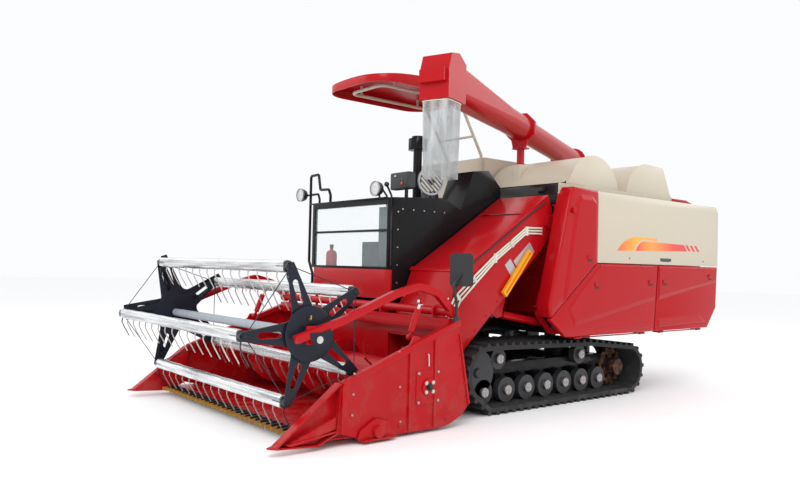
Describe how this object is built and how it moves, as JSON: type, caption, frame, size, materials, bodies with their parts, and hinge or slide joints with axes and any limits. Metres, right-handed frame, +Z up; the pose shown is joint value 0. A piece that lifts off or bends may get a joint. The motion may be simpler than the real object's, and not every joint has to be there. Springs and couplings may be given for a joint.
{
  "type": "tracked rice combine harvester",
  "caption": "Tracked rice combine harvester: spring-tine reel and auger header, sloping feeder, side covers, grain tank and a swinging unloading auger, parked with the header down.",
  "frame": {"origin": "on the ground, under the middle of the machine's bounding box", "axes": "+Z up, the front (reel) faces -Y and the machine's left side faces +X"},
  "size_m": [2.57, 5.6179, 2.945],
  "materials": {
    "red_paint": "gloss",
    "cream_paint": "gloss",
    "black_paint": "satin",
    "reel_blue": "satin",
    "galvanised": "satin",
    "steel": "satin",
    "track_rubber": "matte",
    "roller_grey": "satin",
    "sprocket_iron": "rough",
    "glass": "clear",
    "clear_sleeve": "clear",
    "stop_yellow": "gloss",
    "seat_vinyl": "matte",
    "black_plastic": "matte",
    "fuel_grey": "matte",
    "engine_iron": "rough"
  },
  "bodies": {
    "machine": {"track_left": "track_rubber", "track_right": "track_rubber", "track_rollers": "roller_grey", "drive_sprockets": "sprocket_iron", "chassis_frame": "black_paint", "thresher_body": "red_paint", "thresher_covers": "cream_paint", "straw_hood": "red_paint", "cover_frame": "black_paint", "grain_tank": "cream_paint", "fuel_tank": "fuel_grey", "unloader_column": "red_paint", "rest_post": "red_paint", "engine_hood": "black_paint", "engine_block": "engine_iron", "operator_platform": "black_paint", "nose_panel": "red_paint", "windshield_frame": "black_paint", "windshield_glass": "glass", "operator_seat": "seat_vinyl", "control_console": "black_plastic", "work_lamps": "black_plastic", "canopy": "red_paint", "canopy_frame": "cream_paint"},
    "front_cover": {"front_side_cover": "red_paint"},
    "lower_cover": {"lower_side_cover": "red_paint"},
    "rear_cover": {"rear_side_cover": "red_paint"},
    "upper_cover": {"upper_side_cover": "cream_paint"},
    "lid": {"tank_lid": "cream_paint"},
    "screen": {"radiator_screen": "black_paint"},
    "header": {"header_sides": "red_paint", "header_trough": "red_paint", "header_frame": "red_paint", "crop_dividers": "red_paint", "cutter_bar": "steel", "feeder_house": "red_paint", "safety_stop": "stop_yellow", "header_mirror": "black_plastic"},
    "auger": {"header_auger": "red_paint"},
    "lift_barrel": {"lift_cylinder_barrel": "red_paint"},
    "lift_rod": {"lift_cylinder_rod": "steel"},
    "reel_frame": {"reel_arms": "red_paint"},
    "reel_barrels": {"reel_cylinder_barrels": "red_paint"},
    "reel_rods": {"reel_cylinder_rods": "steel"},
    "reel": {"reel_rotor": "reel_blue"},
    "eccentric": {"eccentric_spider": "reel_blue"},
    "unloader_head": {"unloader_turret": "red_paint"},
    "unloader": {"unloader_tube": "red_paint", "spout_sleeve": "clear_sleeve"},
    "unloader_barrel": {"unloader_cylinder_barrel": "red_paint"},
    "unloader_rod": {"unloader_cylinder_rod": "steel"},
    "bar_1": {"tine_bar_1": "galvanised"},
    "bar_2": {"tine_bar_2": "galvanised"},
    "bar_3": {"tine_bar_3": "galvanised"},
    "bar_4": {"tine_bar_4": "galvanised"},
    "bar_5": {"tine_bar_5": "galvanised"}
  },
  "joints": [
    {"name": "header_lift", "type": "hinge", "parent": "machine", "child": "header", "pos_m": [0.695, 0.194, 1.6], "axis": [-1, 0, 0], "range_deg": [0, 16]},
    {"name": "lift_barrel_turn", "type": "hinge", "parent": "machine", "child": "lift_barrel", "pos_m": [0.9, 0.324, 0.69], "axis": [-1, 0, 0], "range_deg": [0, 9.2]},
    {"name": "lift_rod_slide", "type": "slide", "parent": "lift_barrel", "child": "lift_rod", "axis": [0, -0.9866, 0.1632], "range_m": [0, 0.24]},
    {"name": "auger_spin", "type": "hinge", "parent": "header", "child": "auger", "pos_m": [0, -1.409, 0.328], "axis": [1, 0, 0], "continuous": true},
    {"name": "reel_lift", "type": "hinge", "parent": "header", "child": "reel_frame", "pos_m": [0, -1.141, 0.85], "axis": [-1, 0, 0], "range_deg": [0, 25]},
    {"name": "reel_barrel_turn", "type": "hinge", "parent": "header", "child": "reel_barrels", "pos_m": [0, -1.506, 0.674], "axis": [-1, 0, 0], "range_deg": [0, 1.6]},
    {"name": "reel_rod_slide", "type": "slide", "parent": "reel_barrels", "child": "reel_rods", "axis": [0, 0.3701, 0.929], "range_m": [0, 0.12]},
    {"name": "reel_spin", "type": "hinge", "parent": "reel_frame", "child": "reel", "pos_m": [0, -2.321, 0.73], "axis": [1, 0, 0], "continuous": true},
    {"name": "eccentric_spin", "type": "hinge", "parent": "reel_frame", "child": "eccentric", "pos_m": [-1.129, -2.276, 0.77], "axis": [1, 0, 0], "continuous": true},
    {"name": "bar_1_turn", "type": "hinge", "parent": "reel", "child": "bar_1", "pos_m": [0, -2.779, 0.73], "axis": [1, 0, 0], "continuous": true},
    {"name": "bar_2_turn", "type": "hinge", "parent": "reel", "child": "bar_2", "pos_m": [0, -2.46253, 1.16558], "axis": [1, 0, 0], "continuous": true},
    {"name": "bar_3_turn", "type": "hinge", "parent": "reel", "child": "bar_3", "pos_m": [0, -1.95047, 0.99921], "axis": [1, 0, 0], "continuous": true},
    {"name": "bar_4_turn", "type": "hinge", "parent": "reel", "child": "bar_4", "pos_m": [0, -1.95047, 0.46079], "axis": [1, 0, 0], "continuous": true},
    {"name": "bar_5_turn", "type": "hinge", "parent": "reel", "child": "bar_5", "pos_m": [0, -2.46253, 0.29442], "axis": [1, 0, 0], "continuous": true},
    {"name": "front_cover_swing", "type": "hinge", "parent": "machine", "child": "front_cover", "pos_m": [1.046, 0.0124, 0.87], "axis": [0, -0.2517, -0.9678], "range_deg": [0, 90]},
    {"name": "lower_cover_swing", "type": "hinge", "parent": "machine", "child": "lower_cover", "pos_m": [1.16, 0.984, 0.588], "axis": [0, 1, 0], "range_deg": [0, 90]},
    {"name": "rear_cover_swing", "type": "hinge", "parent": "machine", "child": "rear_cover", "pos_m": [1.16, 2.084, 0.588], "axis": [0, 1, 0], "range_deg": [0, 90]},
    {"name": "upper_cover_swing", "type": "hinge", "parent": "machine", "child": "upper_cover", "pos_m": [1.052, 1.684, 1.888], "axis": [0, -1, 0], "range_deg": [0, 80]},
    {"name": "tank_lid_swing", "type": "hinge", "parent": "machine", "child": "lid", "pos_m": [-0.6, 1.198, 2.326], "axis": [-1, 0, 0], "range_deg": [0, 100]},
    {"name": "screen_swing", "type": "hinge", "parent": "machine", "child": "screen", "pos_m": [-0.969, -0.346, 1.065], "axis": [0, 0, 1], "range_deg": [0, 100]},
    {"name": "unloader_swing", "type": "hinge", "parent": "machine", "child": "unloader_head", "pos_m": [-0.25, 2.244, 2.452], "axis": [0, 0, 1], "range_deg": [0, 110]},
    {"name": "unloader_lift", "type": "hinge", "parent": "unloader_head", "child": "unloader", "pos_m": [-0.25, 2.244, 2.452], "axis": [-0.9438, -0.3305, 0], "range_deg": [0, 30]},
    {"name": "unloader_barrel_turn", "type": "hinge", "parent": "unloader_head", "child": "unloader_barrel", "pos_m": [-0.42886, 2.23435, 2.352], "axis": [-0.9438, -0.3305, 0], "range_deg": [0, 26.6]},
    {"name": "unloader_rod_slide", "type": "slide", "parent": "unloader_barrel", "child": "unloader_rod", "axis": [0.3297, -0.9417, 0.0665], "range_m": [0, 0.0437]}
  ],
  "couplings": [
    {"joint": "lift_barrel_turn", "follows": "header_lift", "ratio": 0.56871},
    {"joint": "lift_rod_slide", "follows": "header_lift", "m_per_rad": 0.85557},
    {"joint": "reel_barrel_turn", "follows": "reel_lift", "ratio": 0.05728},
    {"joint": "reel_rod_slide", "follows": "reel_lift", "m_per_rad": 0.27293},
    {"joint": "eccentric_spin", "follows": "reel_spin", "ratio": 1},
    {"joint": "unloader_barrel_turn", "follows": "unloader_lift", "ratio": 0.8819},
    {"joint": "unloader_rod_slide", "follows": "unloader_lift", "m_per_rad": 0.08319},
    {"joint": "bar_1_turn", "follows": "reel_spin", "ratio": -1},
    {"joint": "bar_2_turn", "follows": "reel_spin", "ratio": -1},
    {"joint": "bar_3_turn", "follows": "reel_spin", "ratio": -1},
    {"joint": "bar_4_turn", "follows": "reel_spin", "ratio": -1},
    {"joint": "bar_5_turn", "follows": "reel_spin", "ratio": -1}
  ]
}
